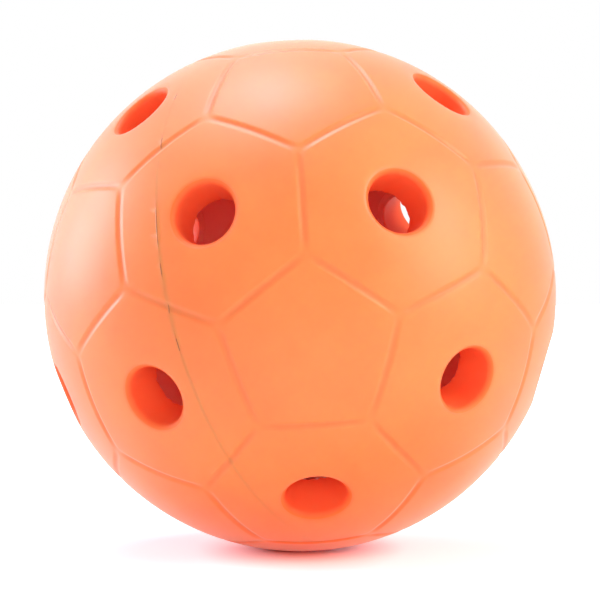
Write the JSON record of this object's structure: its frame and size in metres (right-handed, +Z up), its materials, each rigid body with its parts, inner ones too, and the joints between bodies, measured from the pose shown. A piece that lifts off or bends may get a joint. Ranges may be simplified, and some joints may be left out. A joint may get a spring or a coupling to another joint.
{
  "type": "goalball",
  "caption": "Hollow rubber ball of bonded half shells, holed at every hexagonal panel, with loose jingle bells inside that sound as it rolls.",
  "frame": {"origin": "centre of the ball", "axes": "+Z up through the middle of the hole opposite the one the ball stands on; +X is where the axis square to the parting plane points once laid level, and that axis rises 10.8 degrees above +X"},
  "size_m": [0.242, 0.2414, 0.2394],
  "materials": {
    "shell_rubber": "matte moulded, orange",
    "bell_nickel": "nickel-plated pressed steel, bright",
    "pellet_steel": "tumbled steel"
  },
  "bodies": {
    "ball": {"right_half_shell": "shell_rubber", "left_half_shell": "shell_rubber"},
    "bell_1": {"bell_1_upper_cup": "bell_nickel", "bell_1_lower_cup": "bell_nickel", "bell_1_loop": "bell_nickel"},
    "pellet_1": {"bell_1_pellet": "pellet_steel"},
    "bell_2": {"bell_2_upper_cup": "bell_nickel", "bell_2_lower_cup": "bell_nickel", "bell_2_loop": "bell_nickel"},
    "pellet_2": {"bell_2_pellet": "pellet_steel"},
    "bell_3": {"bell_3_upper_cup": "bell_nickel", "bell_3_lower_cup": "bell_nickel", "bell_3_loop": "bell_nickel"},
    "pellet_3": {"bell_3_pellet": "pellet_steel"}
  },
  "joints": [
    {"name": "bell_1_roll", "type": "hinge", "parent": "ball", "child": "bell_1", "pos_m": [0, 0, 0], "axis": [0, -1, 0], "range_deg": [0, 99]},
    {"name": "pellet_1_roll", "type": "hinge", "parent": "bell_1", "child": "pellet_1", "pos_m": [0.03231, 0, -0.09358], "axis": [0, -1, 0], "range_deg": [-130, 130]},
    {"name": "bell_2_roll", "type": "hinge", "parent": "ball", "child": "bell_2", "pos_m": [0, 0, 0], "axis": [0.866, 0.5, 0], "range_deg": [0, 99]},
    {"name": "pellet_2_roll", "type": "hinge", "parent": "bell_2", "child": "pellet_2", "pos_m": [-0.01615, 0.02798, -0.09358], "axis": [0.866, 0.5, 0], "range_deg": [-130, 130]},
    {"name": "bell_3_roll", "type": "hinge", "parent": "ball", "child": "bell_3", "pos_m": [0, 0, 0], "axis": [-0.866, 0.5, 0], "range_deg": [0, 99]},
    {"name": "pellet_3_roll", "type": "hinge", "parent": "bell_3", "child": "pellet_3", "pos_m": [-0.01615, -0.02798, -0.09358], "axis": [-0.866, 0.5, 0], "range_deg": [-130, 130]}
  ]
}
